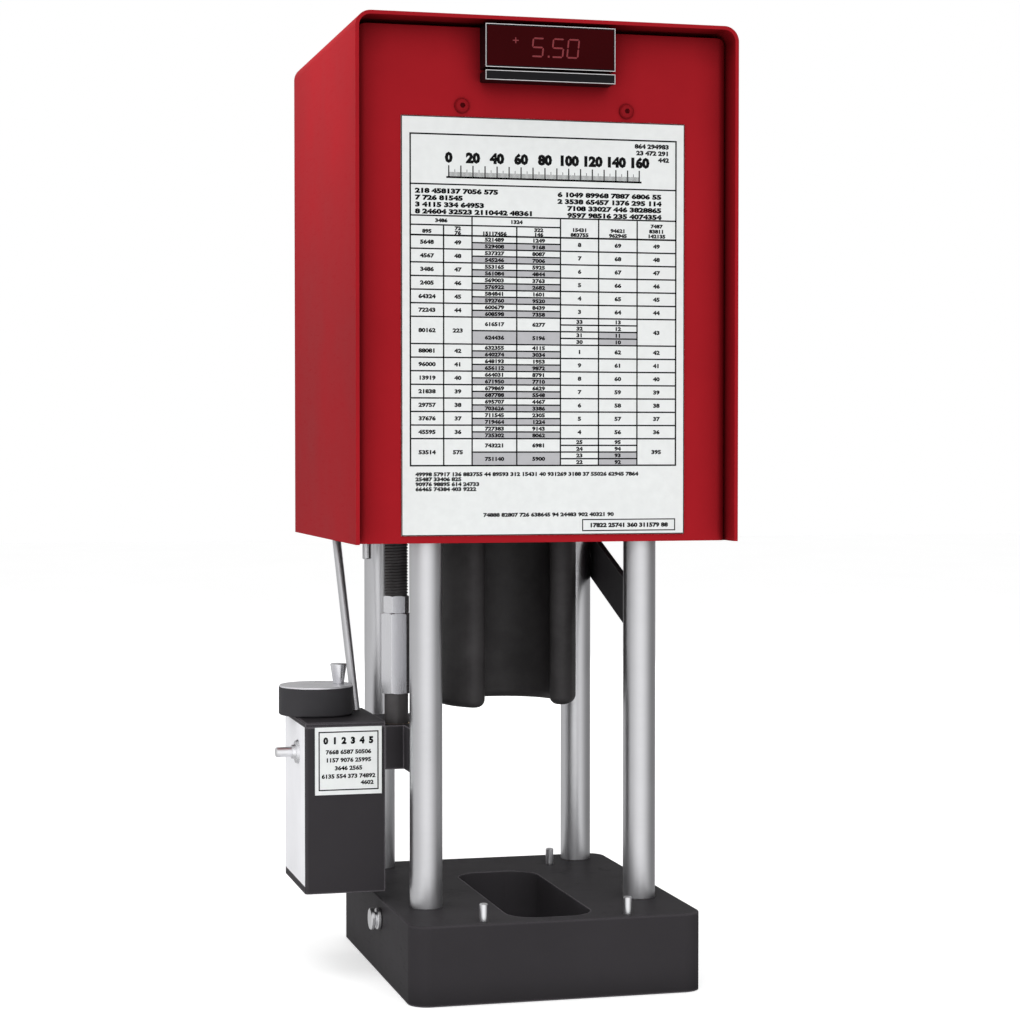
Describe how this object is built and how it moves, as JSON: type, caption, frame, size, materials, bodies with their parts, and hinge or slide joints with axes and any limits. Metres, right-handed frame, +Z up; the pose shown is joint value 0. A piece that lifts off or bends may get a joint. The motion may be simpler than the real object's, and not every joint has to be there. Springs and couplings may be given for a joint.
{
  "type": "hose crimping machine",
  "caption": "Bench hose crimping machine: upright press with four round posts, a hooded hydraulic head, C-shaped pusher, slotted base, stop rod and dial box.",
  "frame": {"origin": "centre of the base block's underside", "axes": "+X to the operator's right, +Y to the back, +Z up along the posts"},
  "size_m": [0.3645, 0.338, 0.7853],
  "materials": {
    "black_enamel": "satin black enamel",
    "red_enamel": "semi-gloss red enamel",
    "grey_enamel": "satin light grey enamel",
    "ground_steel": "ground and polished steel",
    "plated_steel": "bright zinc plating",
    "black_steel": "black oxide steel",
    "cast_black": "machined and blackened",
    "bronze": "turned bronze",
    "seal_rubber": "moulded nitrile",
    "dial_black": "fine-grained moulding",
    "satin_cap": "spun satin",
    "printed_white": "printed plastic sheet",
    "black_moulding": "semi-gloss moulding",
    "window_red": "tinted window",
    "conduit_grey": "brushed tube"
  },
  "bodies": {
    "frame": {"base_block": "black_enamel", "locating_pins": "ground_steel", "post_front_left": "ground_steel", "post_front_right": "ground_steel", "post_rear_left": "ground_steel", "post_rear_right": "ground_steel", "tie_nuts": "black_steel", "tie_washers": "black_steel", "head_plate": "black_enamel", "cylinder_body": "cast_black", "cylinder_screws": "black_steel", "rod_bushing": "bronze", "sensor_body": "plated_steel", "bracket": "black_enamel", "bracket_bushing": "bronze", "side_brace": "black_enamel", "cap_screws": "black_steel", "control_box": "black_enamel", "side_panel": "grey_enamel", "conduit": "conduit_grey", "terminal_box": "black_enamel", "box_lid": "black_enamel", "guide_rod": "ground_steel", "button_bushing": "plated_steel", "contact_block": "black_moulding", "hood": "red_enamel", "front_panel": "red_enamel", "front_bracket": "black_enamel", "rear_panel": "red_enamel", "rear_spacers": "plated_steel", "cover_screws": "red_enamel", "pressure_coupler": "plated_steel", "return_coupler": "plated_steel", "readout": "black_moulding", "readout_window": "window_red", "readout_strip": "black_moulding", "chart_plate": "printed_white", "label_plate": "printed_white"},
    "ram_unit": {"ram": "ground_steel", "piston_seals": "seal_rubber", "crosshead": "cast_black", "crosshead_bolt": "black_steel", "pusher": "cast_black", "pusher_screws": "black_steel", "stop_stud": "black_steel", "stud_nut": "plated_steel", "jam_nut": "plated_steel", "hex_coupling": "plated_steel", "stop_plunger": "black_steel", "trip_finger": "ground_steel", "sensor_rod": "ground_steel"},
    "dial_unit": {"dial": "dial_black", "dial_cap": "satin_cap", "dial_spindle": "ground_steel", "spinner_pin": "ground_steel"},
    "spinner": {"spinner_knob": "plated_steel"},
    "carriage": {"switch_carriage": "satin_cap", "limit_switch": "black_moulding"},
    "push_button": {"button": "plated_steel"},
    "lock_knob": {"pull_knob": "plated_steel"}
  },
  "joints": [
    {"name": "ram_slide", "type": "slide", "parent": "frame", "child": "ram_unit", "axis": [0, 0, -1], "range_m": [0, 0.0245]},
    {"name": "dial_spin", "type": "hinge", "parent": "frame", "child": "dial_unit", "pos_m": [-0.166, 0.03, 0.2145], "axis": [0, 0, 1], "range_deg": [-1800, 1800]},
    {"name": "spinner_spin", "type": "hinge", "parent": "dial_unit", "child": "spinner", "pos_m": [-0.1465, 0.03, 0.2398], "axis": [0, 0, 1], "continuous": true},
    {"name": "carriage_slide", "type": "slide", "parent": "frame", "child": "carriage", "axis": [0, 0, 1], "range_m": [-0.005, 0.005]},
    {"name": "button_press", "type": "slide", "parent": "frame", "child": "push_button", "axis": [1, 0, 0], "range_m": [0, 0.004], "stiffness_N_per_m": 600, "springref_m": -0.003},
    {"name": "knob_pull", "type": "slide", "parent": "frame", "child": "lock_knob", "axis": [-1, 0, 0], "range_m": [0, 0.006], "stiffness_N_per_m": 1200, "springref_m": -0.004}
  ],
  "couplings": [
    {"joint": "carriage_slide", "follows": "dial_spin", "m_per_rad": 0.00015915}
  ]
}
